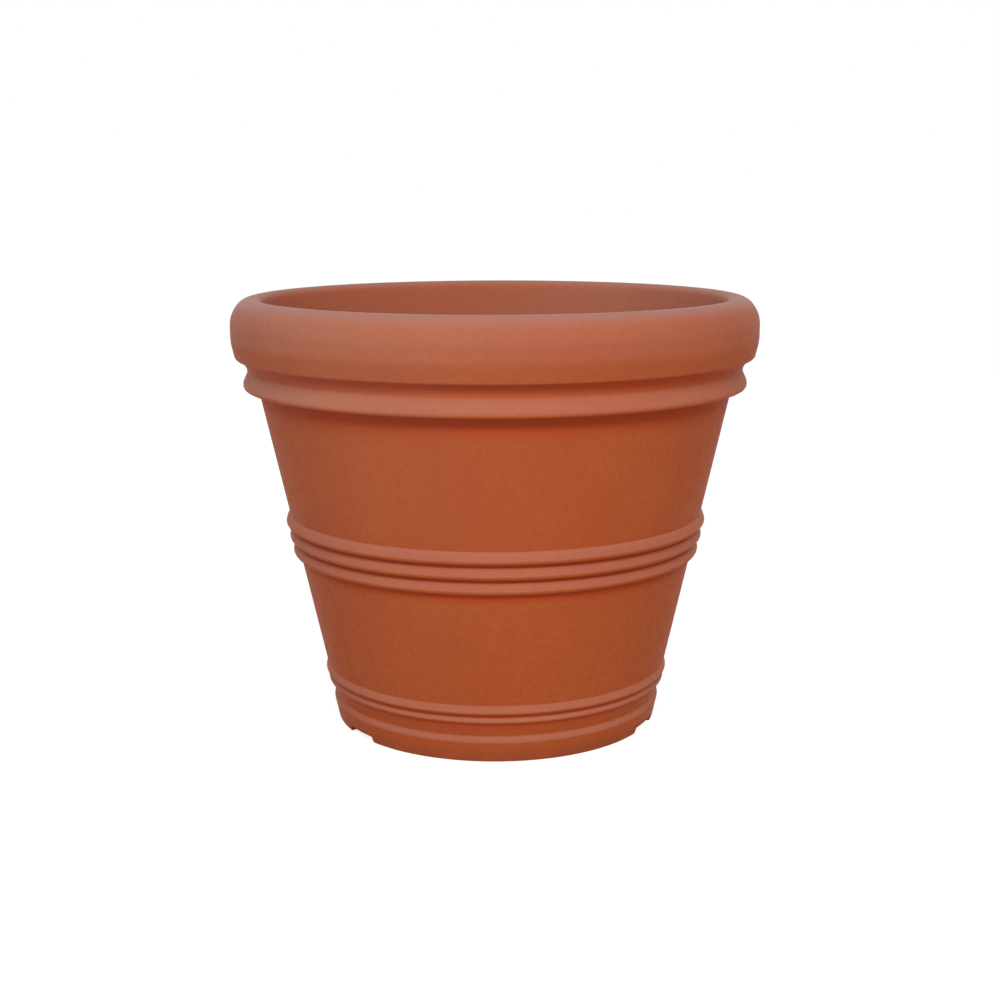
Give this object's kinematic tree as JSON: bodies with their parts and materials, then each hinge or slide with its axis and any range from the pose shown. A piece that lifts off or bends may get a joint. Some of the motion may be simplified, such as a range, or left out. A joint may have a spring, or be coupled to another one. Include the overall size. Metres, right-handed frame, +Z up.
{
  "type": "planter",
  "caption": "Round tapered floor planter with a heavy rolled rim, a flared collar, raised beads round the body and a notched foot; lift-out rubber plugs in its drain holes.",
  "frame": {"origin": "centre of the foot's circle, on the ground that the foot rests on", "axes": "+Z up along the planter's round axis; -Y towards the viewer of the picture, +X to the viewer's right"},
  "size_m": [0.6599, 0.66, 0.541],
  "materials": {
    "terracotta_polyethylene": "rotationally moulded polyethylene, terracotta colour through, dull and very slightly grained",
    "black_rubber": "moulded black rubber, matte",
    "brown_plug_plastic": "injection moulded polyethylene, darker brown"
  },
  "bodies": {
    "planter": {"planter_shell": "terracotta_polyethylene", "vent_plug": "brown_plug_plastic"},
    "plug_1": {"drain_plug_1": "black_rubber"},
    "plug_2": {"drain_plug_2": "black_rubber"},
    "plug_3": {"drain_plug_3": "black_rubber"}
  },
  "joints": [
    {"name": "plug_1_lift", "type": "slide", "parent": "planter", "child": "plug_1", "axis": [0, 0, 1], "range_m": [0, 0.53]},
    {"name": "plug_2_lift", "type": "slide", "parent": "planter", "child": "plug_2", "axis": [0, 0, 1], "range_m": [0, 0.53]},
    {"name": "plug_3_lift", "type": "slide", "parent": "planter", "child": "plug_3", "axis": [0, 0, 1], "range_m": [0, 0.53]}
  ]
}
